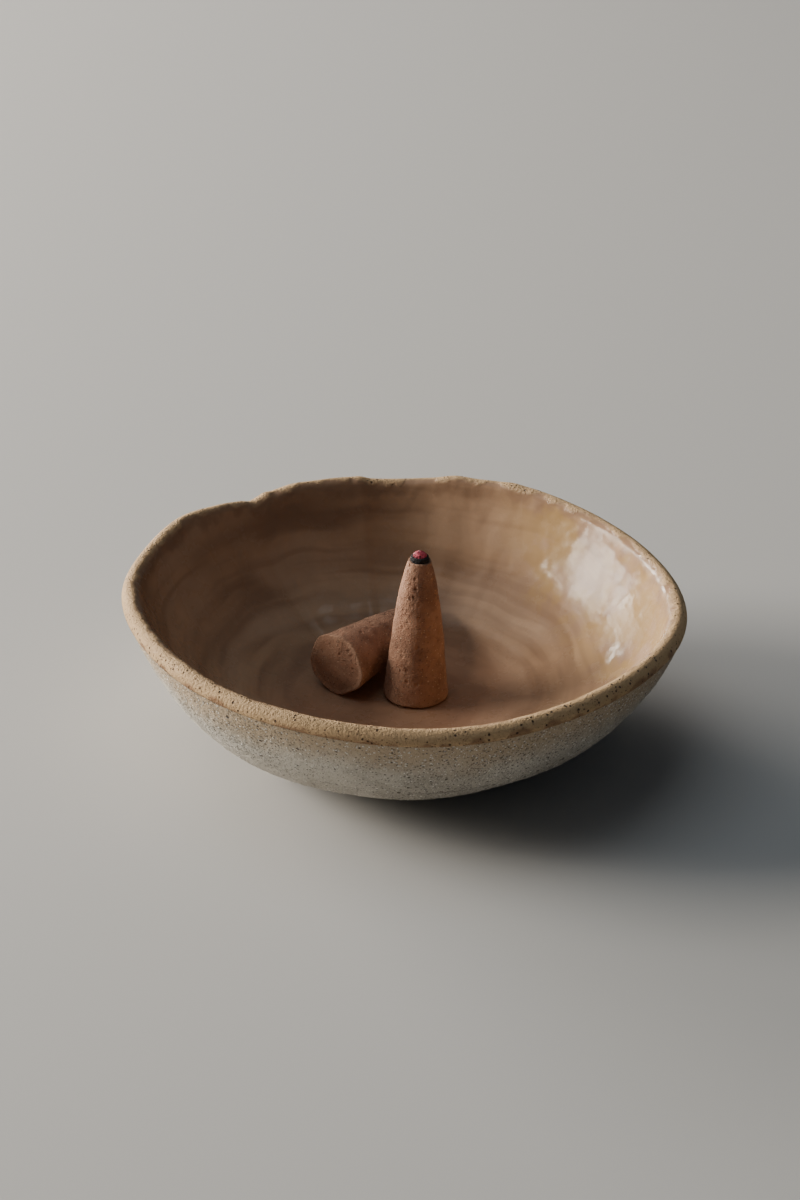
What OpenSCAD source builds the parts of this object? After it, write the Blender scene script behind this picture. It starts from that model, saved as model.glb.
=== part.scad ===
// Incense burner: a shallow pinched bowl in grogged stoneware, glazed inside and over the lip, with
// two loose incense cones. One cone stands in the middle and burns, with an ember in a ring of char
// on top. The other lies on its side behind it, unburnt.
//
// Units are millimetres. The origin is the middle of the flat foot, on the surface that the bowl
// stands on. +Z is up, +X is to the right and -Y is the front. A section of the wall is a list of
// points [distance from the Z axis, height] in the half plane at one angle round that axis.

/* [Bowl] */
// Mean distance of the rim's crest from the Z axis
rim_r = 52; // [50:1:55]
// Mean height of the rim's crest
rim_h = 30.5; // [29:0.5:33]
// How much of the hand-made wander the rim has, from none to all of it
wander = 1; // [0:0.1:1]
// Radius of the flat foot
foot_r = 22; // [20:0.5:24]
// Slope of the outside where it leaves the foot, in degrees
foot_slope = 13; // [11:1:16]
// Slope of the outside just under the lip, in degrees
lip_slope = 68; // [64:1:71]
// Thickness of the clay in the middle of the floor
floor_t = 4.8; // [4.4:0.1:5.4]
// Thickness of the round lip
lip_t = 3.2; // [3:0.1:4]

/* [Glaze] */
// Thickness of the glaze inside the bowl
glaze_t = 0.4; // [0.3:0.05:0.5]

/* [Incense cones] */
// Radius of a cone's flat base
cone_r = 6.4; // [6:0.1:6.5]
// Height of an unburnt cone
cone_h = 33; // [32:0.5:34]
// Height of the burning cone that is still unburnt, up to the char
unburnt_h = 29.5; // [28:0.5:30]
// Height of the ring of char
char_h = 1; // [0.6:0.1:1.4]
// Radius of the ember
ember_r = 1.35; // [1.2:0.05:1.4]
// Lean of the burning cone to the right, in degrees
burning_lean = 1.5; // [0:0.25:1.5]

/* [Hidden] */

// How far the rim's crest strays [outwards, upwards] from a level circle round the foot, every
// 15 degrees counter-clockwise from +X. The rim overhangs the foot most at the front right, and
// stands highest on the left.
WANDER = [
    [2.5, -2], [1, -2], [-0.5, -1.5], [-1.5, -1], [-2, -0.5], [-3, -1],
    [-4, -1.5], [-4.5, -0.5], [-4.5, -0.5], [-5, 0.5], [-4.5, 2.5], [-3.5, 2],
    [-2, 1.5], [-1.5, 2], [-1, 2], [0, 1.5], [1, 1], [2, 0.5],
    [2.5, -0.5], [3, -1], [3.5, -0.5], [4, 0], [4, 0], [3.5, -1]
];
// Finger marks that lift or lower the crest at the back: [angle, half width in degrees, lift]
NICKS = [[127, 9, -0.7], [114, 8, 0.5], [102, 7, 0.4], [75, 7, 0.6]];

// Sections round the bowl, and steps along each stretch of a section
segments = 72;
outside_steps = 9;
lip_steps = 5;
inside_steps = 12;
// Slope of the inside just under the lip, in degrees
inside_slope = lip_slope - 2;
// How far the handles of the curves reach: along the chord, or the floor's along the lip's distance
foot_reach = 0.44;
lip_reach = 0.42;
inside_reach = 0.42;
floor_reach = 0.56;
// The clay starts this far below the foot, which is then cut flat
foot_cut = 0.2;
// Thickness of the glaze where it ends, on the outside of the lip
glaze_edge_t = 0.15;

// A cone's side has a straight taper, and a nose that narrows faster towards the tip
cone_taper = 0.1;
cone_nose = 2.2;
nose_power = 5;
side_steps = 10;
// Rounding of a cone's base edge, and height of an unburnt cone's round tip
base_round = 0.5;
tip_round = 0.7;
// Width of the ring of char, and height of the ember's dome above it
char_w = 0.5;
ember_dome = 0.9;
cone_facets = 64;

// Top of the glaze in the middle of the floor, and room under a cone that stands or lies on it
floor_top = floor_t + glaze_t;
rest_gap = 0.2;
// Middle of the burning cone's base
burning_at = [4.5, 1.4, floor_top + cone_r * sin(burning_lean) + rest_gap];
// Middle of the spare cone's base as the cone lies, which way its tip points, and the tip's dip
spare_at = [-11, 1, floor_top + cone_r + 2.5 * rest_gap];
spare_turn = 54;
spare_dip = 3;

// A point of the smooth curve through four even stations, between the middle two
function between(a, b, c, d, t) =
    b + t * (c - a) / 2
    + t * t * (a - 2.5 * b + 2 * c - d / 2)
    + t * t * t * (1.5 * (b - c) + (d - a) / 2);

// The rim's wander at an angle, smooth through its stations and closed on itself
function wander_at(angle) =
    let (n = len(WANDER), s = angle / 360 * n, i = floor(s))
    between(WANDER[(i + n - 1) % n], WANDER[i % n], WANDER[(i + 1) % n], WANDER[(i + 2) % n], s - i);

// A smooth hump, 1 high in its middle and 0 from the half width on
function hump(offset, half_width) =
    abs(offset) < half_width ? (1 + cos(180 * offset / half_width)) / 2 : 0;

// What the finger marks lift the crest by, all together, at an angle
function nick_at(angle) =
    [for (nick = NICKS) nick[2] * hump(angle - nick[0], nick[1])] * [for (nick = NICKS) 1];

// The rim's crest in the section at an angle
function crest(angle) = [rim_r, rim_h] + wander * (wander_at(angle) + [0, nick_at(angle)]);

// The unit vector up a slope in a section, and the one square to it, away from the Z axis
function along(slope) = [cos(slope), sin(slope)];
function square_to(slope) = [sin(slope), -cos(slope)];

// A cubic curve from a to d with handles b and c, without its first point
function curve(a, b, c, d, steps) = [
    for (i = [1:steps])
        let (t = i / steps, s = 1 - t)
        s * s * s * a + 3 * s * s * t * b + 3 * s * t * t * c + t * t * t * d
];

// A point on the round of the lip, turned from its outer edge towards its inner edge
function lip_point(angle, turn) =
    crest(angle) - [0, lip_t / 2]
    + lip_t / 2 * (cos(turn) * square_to(lip_slope) + sin(turn) * along(lip_slope));

// The outside of the section at an angle, from just above the foot to the lip's outer edge
function outside_section(angle) =
    let (foot = [foot_r, 0], lip = lip_point(angle, 0), chord = norm(lip - foot))
    curve(foot, foot + foot_reach * chord * along(foot_slope),
          lip - lip_reach * chord * along(lip_slope), lip, outside_steps);

// The rest of the section, from the lip's outer edge over the lip and down to the floor, without
// the middle of the floor
function inside_section(angle) =
    let (
        middle = [0, floor_t],
        lip = lip_point(angle, 180),
        wall = curve(lip, lip - inside_reach * norm(lip - middle) * along(inside_slope),
                     middle + [floor_reach * lip[0], 0], middle, inside_steps)
    )
    concat([for (i = [0:lip_steps]) lip_point(angle, 180 * i / lip_steps)],
           [for (i = [0:inside_steps - 2]) wall[i]]);

// The way out of the clay at point i of an inside section, square to the surface
function off_clay(section, i) =
    let (run = section[min(i + 1, len(section) - 1)] - section[max(i - 1, 0)])
    [run[1], -run[0]] / norm(run);

// The glaze's top over an inside section: thin at its edge, and full from the lip's inner edge on
function glaze_section(section) = [
    for (i = [0:len(section) - 1])
        section[i] + off_clay(section, i)
                     * (glaze_edge_t + (glaze_t - glaze_edge_t) * min(i / lip_steps, 1))
];

// The angles of all the sections, and the rings that a list of sections makes, one for each point
function angles() = [for (i = [0:segments - 1]) 360 * i / segments];
function rings(sections) = [
    for (k = [0:len(sections[0]) - 1])
        [for (i = [0:segments - 1])
            let (p = sections[i][k], angle = angles()[i])
            [p[0] * cos(angle), p[0] * sin(angle), p[1]]]
];

// The same rings in the opposite order
function reversed(list) = [for (i = [len(list) - 1:-1:0]) list[i]];

// Triangles of the band between two neighbouring rings, given the first point of each. A crossed
// band is split along its other diagonals.
function band(a, b, crossed) = [
    for (i = [0:segments - 1])
        let (j = (i + 1) % segments)
        each crossed
            ? [[a + i, b + i, a + j], [b + i, b + j, a + j]]
            : [[a + i, b + i, b + j], [a + i, b + j, a + j]]
];

// A closed solid whose skin runs from one point, through rings, to another point. Its first bands
// are crossed where they lie flat against a skin that runs the other way.
module skin(first, rings, last, crossed_bands = 0) {
    points = concat([first], [for (ring = rings) each ring], [last]);
    end = len(points) - 1;
    polyhedron(points, concat(
        [for (i = [0:segments - 1]) [0, 1 + i, 1 + (i + 1) % segments]],
        [for (k = [1:len(rings) - 1])
            each band(1 + (k - 1) * segments, 1 + k * segments, k <= crossed_bands)],
        [for (i = [0:segments - 1]) [end, end - segments + (i + 1) % segments, end - segments + i]]
    ));
}

// The clay of the bowl, with its foot cut flat
module stoneware_bowl() {
    below_foot = [foot_r - foot_cut / tan(foot_slope), -foot_cut];
    sections = [
        for (angle = angles())
            let (inside = inside_section(angle))
            concat([below_foot], outside_section(angle),
                   [for (k = [1:len(inside) - 1]) inside[k]])
    ];
    color("#a39c92")
        difference() {
            skin([0, 0, -foot_cut], rings(sections), [0, 0, floor_t]);
            translate([0, 0, -2 * foot_r]) cube(4 * foot_r, center = true);
        }
}

// The glaze, which lines the inside, rolls over the lip and ends on the lip's outer edge
module glaze_lining() {
    clay = [for (angle = angles()) inside_section(angle)];
    top = [for (section = clay) glaze_section(section)];
    color("#9d7852")
        skin([0, 0, floor_t], concat(reversed(rings(clay)), rings(top)), [0, 0, floor_top],
             crossed_bands = len(clay[0]) - 1);
}

// Radius of a cone's side at a height above its base
function side_r(h) = cone_r - cone_taper * h - cone_nose * pow(h / cone_h, nose_power);

// Half the outline of a cone, from the middle of its base round the base edge and up its side
function cone_outline(top) = concat(
    [[0, 0]],
    [for (turn = [-90:30:0])
        [side_r(base_round) - base_round * (1 - cos(turn)), base_round * (1 + sin(turn))]],
    [for (i = [1:side_steps])
        let (h = base_round + (top - base_round) * i / side_steps)
        [side_r(h), h]]
);

// A quarter of an ellipse from [r, h] up to the axis, for a round tip or an ember
function dome(r, h, rise) = [for (turn = [15:15:90]) [r * cos(turn), h + rise * sin(turn)]];

// Spins an outline about the Z axis
module spun(outline) {
    rotate_extrude($fn = cone_facets) polygon(outline);
}

// Puts what is made over the burning cone's base where that cone stands
module where_burning_cone_stands() {
    translate(burning_at) rotate([0, burning_lean, 0]) children();
}

// The part of the standing cone that has not burnt yet
module burning_cone() {
    color("#a8683f")
        where_burning_cone_stands() spun(concat(cone_outline(unburnt_h), [[0, unburnt_h]]));
}

// The black ring that the burning leaves round the ember
module char_ring() {
    outer_r = ember_r + char_w;
    color("#1c1513")
        where_burning_cone_stands()
            translate([0, 0, unburnt_h])
                spun([[ember_r, 0], [outer_r, 0], [outer_r, char_h * 0.6],
                      [outer_r - char_w / 3, char_h * 0.9], [ember_r, char_h]]);
}

// The glowing tip, which stands on the unburnt cone inside the ring of char
module ember() {
    color("#cf3a5c")
        where_burning_cone_stands()
            translate([0, 0, unburnt_h])
                spun(concat([[0, 0], [ember_r, 0], [ember_r, char_h]],
                            dome(ember_r, char_h, ember_dome)));
}

// The unburnt cone, lying on its side with its tip towards the back
module spare_cone() {
    side_top = cone_h - tip_round;
    color("#a3643d")
        translate(spare_at)
            rotate([0, 90 + spare_dip, spare_turn])
                spun(concat(cone_outline(side_top), dome(side_r(side_top), side_top, tip_round)));
}

stoneware_bowl();
glaze_lining();
burning_cone();
char_ring();
ember();
spare_cone();
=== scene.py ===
"""Incense burner: the looks of a pinched stoneware bowl with two loose incense cones.

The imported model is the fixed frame. Every visible piece here replaces its CAD node with a finer
mesh that follows the same rule, in metres and in the same frame: the clay wall and its glaze, the
standing cone with its char and ember, and the spare cone on its side.
"""

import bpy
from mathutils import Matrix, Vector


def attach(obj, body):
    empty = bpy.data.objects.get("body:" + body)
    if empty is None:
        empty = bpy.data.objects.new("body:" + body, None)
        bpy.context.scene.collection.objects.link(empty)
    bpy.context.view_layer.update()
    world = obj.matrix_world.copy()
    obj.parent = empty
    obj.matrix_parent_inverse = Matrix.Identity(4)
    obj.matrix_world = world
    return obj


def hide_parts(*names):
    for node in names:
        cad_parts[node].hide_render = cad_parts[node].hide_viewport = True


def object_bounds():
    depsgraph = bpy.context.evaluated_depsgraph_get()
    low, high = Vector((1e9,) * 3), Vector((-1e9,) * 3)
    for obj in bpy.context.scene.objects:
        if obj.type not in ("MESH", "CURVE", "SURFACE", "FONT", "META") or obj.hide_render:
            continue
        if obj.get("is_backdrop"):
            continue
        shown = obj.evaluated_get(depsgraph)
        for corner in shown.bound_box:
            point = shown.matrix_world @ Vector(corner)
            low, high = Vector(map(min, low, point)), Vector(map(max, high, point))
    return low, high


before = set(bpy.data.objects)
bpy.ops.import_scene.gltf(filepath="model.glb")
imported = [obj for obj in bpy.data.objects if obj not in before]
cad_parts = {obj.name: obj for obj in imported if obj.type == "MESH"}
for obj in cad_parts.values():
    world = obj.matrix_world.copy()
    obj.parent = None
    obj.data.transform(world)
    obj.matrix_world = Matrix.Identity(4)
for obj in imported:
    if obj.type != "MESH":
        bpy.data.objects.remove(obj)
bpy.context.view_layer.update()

import logging
import math
from dataclasses import asdict, dataclass, field, fields
from enum import Enum
from typing import Any, Optional

import bpy
import numpy as np
from mathutils import Matrix, Vector

LOG = logging.getLogger("incense_burner")
MM = 0.001
FLOAT = "NodeSocketFloat"
VECTOR = "NodeSocketVector"
GEOMETRY = "NodeSocketGeometry"
MATERIAL = "NodeSocketMaterial"
NUMBERS = {float: FLOAT, int: "NodeSocketInt"}
Tree = bpy.types.NodeTree
Node = bpy.types.Node
Socket = bpy.types.NodeSocket
Sockets = bpy.types.bpy_prop_collection
Material = bpy.types.Material
Object = bpy.types.Object
Value = Any
Colour = tuple[float, float, float, float]


def rgb(red: float, green: float, blue: float) -> Colour:
    """An opaque colour from three linear channels."""
    return (red, green, blue, 1.0)


def label(name: str) -> str:
    """The label of the socket that takes a value of this name."""
    return name.replace("_", " ").title()


class Stretch(Enum):
    """The stretches of a bowl's skin, in the order in which the skin runs."""

    UNDERSIDE = 0
    OUTSIDE = 1
    LIP = 2
    INSIDE = 3


# ---- Node trees ----


class Graph:
    """Adds nodes to one node tree and joins them."""

    def __init__(self, tree: Tree) -> None:
        """Keeps the shader, shader group or geometry tree to build in."""
        self.tree = tree

    def add(self, kind: str, inputs: Optional[dict] = None, **settings: Value) -> Node:
        """Adds one node.

        Args:
            kind: the node's Blender type.
            inputs: socket name or number to a value, a socket or a node.
            settings: the node's own properties.

        Returns:
            The new node.
        """
        node = self.tree.nodes.new(kind)
        for name, value in settings.items():
            setattr(node, name, value)
        for key, value in (inputs or {}).items():
            self.feed(node.inputs[key], value)
        return node

    def feed(self, socket: Socket, value: Value) -> None:
        """Links a socket or a node's first output to a socket, or sets the socket's value.

        Args:
            socket: the input to feed.
            value: a socket, a node or a plain value.
        """
        if isinstance(value, Node):
            value = value.outputs[0]
        if isinstance(value, Socket):
            self.tree.links.new(value, socket)
        else:
            socket.default_value = value

    def math(self, operation: str, *values: Value) -> Socket:
        """A Math node's result, from its operation and its operands."""
        return self.add("ShaderNodeMath", dict(enumerate(values)), operation=operation).outputs[0]

    def times(self, first: Value, second: Value) -> Socket:
        """The product of two values."""
        return self.math("MULTIPLY", first, second)

    def vector(self, operation: str, *values: Value) -> Socket:
        """A Vector Math node's result.

        Args:
            operation: the node's operation.
            values: its operands, in the order of the node's sockets.

        Returns:
            The result's socket: Value for a length, and Vector for all else.
        """
        node = self.add("ShaderNodeVectorMath", operation=operation)
        sockets = [socket for socket in node.inputs if socket.enabled]
        for socket, value in zip(sockets, values):
            self.feed(socket, value)
        return node.outputs["Value" if operation == "LENGTH" else "Vector"]

    def parts(self, vector: Value) -> tuple[Socket, Socket, Socket]:
        """The three parts of a vector."""
        return tuple(self.add("ShaderNodeSeparateXYZ", {0: vector}).outputs)

    def join(self, x: Value, y: Value, z: Value) -> Socket:
        """The vector with these three parts."""
        return self.add("ShaderNodeCombineXYZ", {0: x, 1: y, 2: z}).outputs[0]

    def ramp(
        self, value: Value, low: Value, high: Value, to_low: Value = 0.0, to_high: Value = 1.0
    ) -> Socket:
        """A smooth step, from to_low where the value is low to to_high where it is high."""
        inputs = dict(enumerate((value, low, high, to_low, to_high)))
        return self.add("ShaderNodeMapRange", inputs, interpolation_type="SMOOTHSTEP").outputs[0]

    def noise(self, vector: Value, scale: Value, detail: float = 2.0, roughness: float = 0.5) -> Socket:
        """A noise texture's value, about 0.5 on average, with so many features to a unit."""
        inputs = {"Vector": vector, "Scale": scale, "Detail": detail, "Roughness": roughness}
        return self.add("ShaderNodeTexNoise", inputs).outputs[0]

    def mix(self, share: Value, first: Value, second: Value) -> Socket:
        """A blend of two colours.

        Args:
            share: how much of the second colour there is.
            first: the colour at 0.
            second: the colour at 1.

        Returns:
            The blended colour's socket.
        """
        node = self.add("ShaderNodeMix", data_type="RGBA")
        for number, value in ((0, share), (6, first), (7, second)):
            self.feed(node.inputs[number], value)
        return node.outputs[2]

    def round_the_axis(self, place: Value, along_scale: Value) -> Socket:
        """Coordinates that stretch a pattern round the Z axis, as a turning hand does.

        Args:
            place: a position.
            along_scale: how fast the pattern changes outwards and upwards, per metre.

        Returns:
            The coordinates' socket. They have no seam.
        """
        x, y, _ = self.parts(place)
        way_x, way_y, _ = self.parts(self.vector("NORMALIZE", self.join(x, y, 0.0)))
        drift = self.noise(place, 45.0, 2.0)
        out = self.math("MULTIPLY_ADD", drift, 6.0 * MM, self.vector("LENGTH", place))
        return self.join(way_x, way_y, self.times(out, along_scale))


def new_group(
    name: str, kind: str, inputs: dict[str, str], outputs: dict[str, str]
) -> tuple[Graph, Sockets, Sockets]:
    """Makes a node group with named inputs and outputs.

    Args:
        name: the group's name.
        kind: the tree's Blender type.
        inputs: each input's label and its socket's type.
        outputs: each output's label and its socket's type.

    Returns:
        The graph, the sockets that hand in its inputs and the sockets that take its outputs.
    """
    tree = bpy.data.node_groups.new(name, kind)
    for direction, sockets in (("INPUT", inputs), ("OUTPUT", outputs)):
        for title, socket_type in sockets.items():
            tree.interface.new_socket(title, in_out=direction, socket_type=socket_type)
    graph = Graph(tree)
    return graph, graph.add("NodeGroupInput").outputs, graph.add("NodeGroupOutput").inputs


# ---- Effects that several finishes share ----


class Effects:
    """The shader groups that more than one finish uses, each built once."""

    def __init__(self) -> None:
        """Builds the groups."""
        self.specks = self._specks()
        self.clouds = self._clouds()

    @staticmethod
    def _specks() -> Tree:
        """Small round spots, such as pinholes and grains of grog.

        Returns:
            The group: it takes coordinates, spots per metre, the share of cells with a spot and the
            spot's radius in cells, and gives a mask and a random value for each spot.
        """
        graph, given, result = new_group(
            "specks",
            "ShaderNodeTree",
            {"Vector": VECTOR, "Per Metre": FLOAT, "Share": FLOAT, "Radius": FLOAT},
            {"Mask": FLOAT, "Random": FLOAT},
        )
        wobble = graph.noise(given["Vector"], 1500.0, 1.0)
        bent = graph.vector("ADD", given["Vector"], graph.times(wobble, 0.2 * MM))
        cells = graph.add("ShaderNodeTexVoronoi", {"Vector": bent, "Scale": given["Per Metre"]})
        chance = graph.add("ShaderNodeSeparateColor", {0: cells.outputs["Color"]})
        picked = graph.math("LESS_THAN", chance.outputs[0], given["Share"])
        size = graph.times(given["Radius"], graph.ramp(chance.outputs[1], 0.0, 1.0, 0.45, 1.0))
        inner = graph.times(size, 0.6)
        spot = graph.ramp(cells.outputs["Distance"], inner, size, 1.0, 0.0)
        graph.feed(result["Mask"], graph.times(spot, picked))
        graph.feed(result["Random"], chance.outputs[2])
        return graph.tree

    @staticmethod
    def _clouds() -> Tree:
        """Soft patches, such as mottled glaze or a kiln's flashing.

        Returns:
            The group: it takes coordinates, patches per metre, the noise value at the patches' edges
            and half the width of those edges, and gives a mask.
        """
        graph, given, result = new_group(
            "clouds",
            "ShaderNodeTree",
            {"Vector": VECTOR, "Scale": FLOAT, "Middle": FLOAT, "Softness": FLOAT},
            {"Mask": FLOAT},
        )
        drift = graph.noise(given["Vector"], given["Scale"], 5.0, 0.62)
        low = graph.math("SUBTRACT", given["Middle"], given["Softness"])
        high = graph.math("ADD", given["Middle"], given["Softness"])
        graph.feed(result["Mask"], graph.ramp(drift, low, high))
        return graph.tree


class FinishGraph(Graph):
    """A material's node tree, with the shared effects to hand."""

    def __init__(self, name: str, effects: Effects) -> None:
        """Makes the material.

        Args:
            name: the material's name.
            effects: the shared groups.
        """
        self.material = bpy.data.materials.new(name)
        self.material.use_nodes = True
        super().__init__(self.material.node_tree)
        self.effects = effects
        self.shader = self.tree.nodes["Principled BSDF"]
        self.place = self.add("ShaderNodeTexCoord").outputs["Object"]

    def attribute(self, name: str) -> Socket:
        """A value that the mesh carries for each of its points."""
        return self.add("ShaderNodeAttribute", attribute_name=name).outputs["Fac"]

    def placed(self, group: Tree, **values: Value) -> Node:
        """Places a shared group on the object's own coordinates.

        Args:
            group: the shared group.
            values: its other inputs.

        Returns:
            The group's node.
        """
        node = self.add("ShaderNodeGroup", node_tree=group)
        for name, value in {"vector": self.place, **values}.items():
            self.feed(node.inputs[label(name)], value)
        return node

    def specks(self, per_metre: float, share: Value, radius: float) -> tuple[Value, Value]:
        """Small spots in a share of a grid's cells: their mask, and a random value for each."""
        node = self.placed(self.effects.specks, per_metre=per_metre, share=share, radius=radius)
        return node.outputs["Mask"], node.outputs["Random"]

    def clouds(self, scale: float, middle: float, softness: float) -> Socket:
        """Soft patches' mask. The middle is the noise value at their edges."""
        node = self.placed(self.effects.clouds, scale=scale, middle=middle, softness=softness)
        return node.outputs["Mask"]

    def paint(self, base: Value, *coats: tuple[Value, float, Value]) -> Socket:
        """Lays colours over each other.

        Args:
            base: the first colour.
            coats: rows of a mask, how much of it counts, and the colour laid where it is.

        Returns:
            The finished colour.
        """
        colour = base
        for mask, amount, coat in coats:
            colour = self.mix(self.times(mask, amount), colour, coat)
        return colour

    def height(self, *layers: tuple[Value, float]) -> Socket:
        """Adds up layers of relief.

        Args:
            layers: pairs of a value and its height in metres, negative where it is sunk.

        Returns:
            The sum, in metres.
        """
        total = self.times(*layers[0])
        for value, amount in layers[1:]:
            total = self.math("MULTIPLY_ADD", value, amount, total)
        return total

    def finish(self, colour: Value, roughness: Value, height: Value) -> None:
        """Feeds the shader.

        Args:
            colour: the base colour.
            roughness: the roughness.
            height: the relief, in metres.
        """
        bump = self.add("ShaderNodeBump", {"Strength": 1.0, "Distance": 1.0, "Height": height})
        self.feed(self.shader.inputs["Base Color"], colour)
        self.feed(self.shader.inputs["Roughness"], roughness)
        self.feed(self.shader.inputs["Normal"], bump.outputs["Normal"])


# ---- Finishes ----


@dataclass(frozen=True)
class Finish:
    """What one kind of surface looks like. Patterns are given per metre, and relief in metres."""

    slot: str

    def build(self, effects: Effects) -> Material:
        """Builds the material.

        Args:
            effects: the shared groups.

        Returns:
            The material.
        """
        graph = FinishGraph(self.slot, effects)
        self.dress(graph)
        return graph.material

    def dress(self, graph: FinishGraph) -> None:
        """Builds the finish in a material's graph."""
        raise NotImplementedError


@dataclass(frozen=True)
class BareStoneware(Finish):
    """Unglazed stoneware: dry, warm grey-white, full of grog, specks and open pits."""

    slot: str = "bare_stoneware"
    pale: Colour = rgb(0.64, 0.585, 0.495)
    dull: Colour = rgb(0.43, 0.385, 0.315)
    flashed: Colour = rgb(0.50, 0.37, 0.235)
    shade: Colour = rgb(0.19, 0.16, 0.13)
    grog: Colour = rgb(0.88, 0.84, 0.76)
    iron: Colour = rgb(0.085, 0.06, 0.045)
    scratch_heights: tuple[float, ...] = (7.7 * MM, 10.3 * MM, 15.0 * MM)
    scratch_core: float = 0.06 * MM
    scratch_edge: float = 0.20 * MM

    def _scratches(self, graph: FinishGraph) -> Socket:
        """Broken hairlines round the lower wall, left by trimming.

        Args:
            graph: the material's graph.

        Returns:
            The mask.
        """
        _, _, height = graph.parts(graph.place)
        drift = graph.math("MULTIPLY_ADD", graph.noise(graph.place, 26.0, 2.0), 5.0 * MM, height)
        total: Value = 0.0
        for middle in self.scratch_heights:
            away = graph.math("ABSOLUTE", graph.math("SUBTRACT", drift, middle))
            line = graph.ramp(away, self.scratch_core, self.scratch_edge, 1.0, 0.0)
            total = graph.math("MAXIMUM", line, total)
        return graph.times(total, graph.clouds(55.0, 0.56, 0.05))

    def dress(self, graph: FinishGraph) -> None:
        """Builds the finish.

        Args:
            graph: the material's graph.
        """
        rise = graph.attribute("rise")
        edge_drift = graph.noise(graph.place, 110.0, 3.0)
        near_lip = graph.ramp(graph.math("MULTIPLY_ADD", edge_drift, 0.16, rise), 0.84, 1.05)
        grain = graph.attribute("grain")
        body = graph.clouds(70.0, 0.52, 0.16)
        smudge = graph.clouds(28.0, 0.56, 0.1)
        fine = graph.noise(graph.place, 1300.0, 4.0, 0.7)
        coarse = graph.noise(graph.place, 520.0, 3.0, 0.6)
        gritty = graph.noise(graph.place, 34.0, 2.0)
        share = graph.ramp(gritty, 0.38, 0.56, 0.3, 0.95)
        pits, _ = graph.specks(1750.0, share, 0.46)
        holes, _ = graph.specks(700.0, graph.times(share, 0.5), 0.28)
        specks, _ = graph.specks(480.0, 0.04, 0.18)
        crumbs, crumb_shade = graph.specks(1900.0, 0.9, 0.52)

        scratches = self._scratches(graph)
        pale_crumbs = graph.times(crumbs, graph.ramp(crumb_shade, 0.45, 0.65))

        colour = graph.paint(
            self.pale,
            (body, 1.0, self.dull),
            (smudge, 0.35, self.dull),
            (near_lip, 0.9, self.flashed),
            (pale_crumbs, 0.85, self.grog),
            (grain, 0.9, self.grog),
            # Painted shade: the pits and the scratches are darkened with the shade colour.
            (pits, 0.7, self.shade),
            (holes, 0.85, self.iron),
            (scratches, 0.55, self.shade),
            (specks, 0.8, self.iron),
        )
        roughness = graph.ramp(fine, 0.35, 0.65, 0.8, 0.97)
        relief = graph.height(
            (fine, 0.4 * MM), (coarse, 0.4 * MM), (pits, -0.3 * MM), (crumbs, 0.16 * MM),
            (holes, -0.6 * MM), (scratches, -0.45 * MM),
        )
        graph.finish(colour, roughness, relief)


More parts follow.
